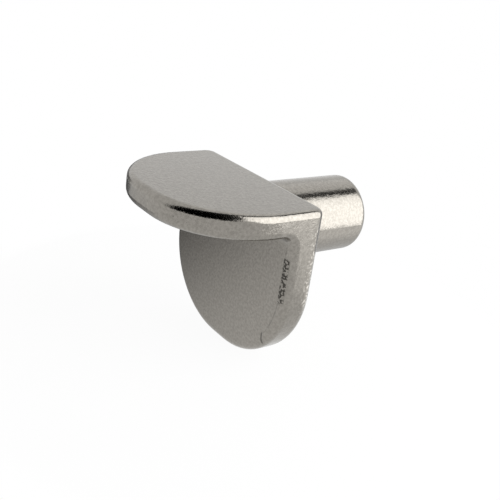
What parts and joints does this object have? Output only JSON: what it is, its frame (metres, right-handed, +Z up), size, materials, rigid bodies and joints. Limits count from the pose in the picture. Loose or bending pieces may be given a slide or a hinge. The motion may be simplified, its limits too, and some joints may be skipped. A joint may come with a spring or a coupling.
{
  "type": "shelf support pin",
  "caption": "Cast L-shaped shelf support: a round pin for a drilled cabinet side, a rounded back plate and a flat rounded ledge that carries the shelf.",
  "frame": {"origin": "on the pin's axis, in the plane of the plate's back, where it meets the panel", "axes": "+Y along the pin into the panel, -Y out along the ledge, +X along the ledge's width, +Z up"},
  "size_m": [0.012, 0.0156, 0.0108],
  "materials": {
    "nickel": "satin nickel plate over cast metal, tumbled, slightly uneven"
  },
  "bodies": {
    "root": {"shelf_support": "nickel"}
  },
  "joints": []
}
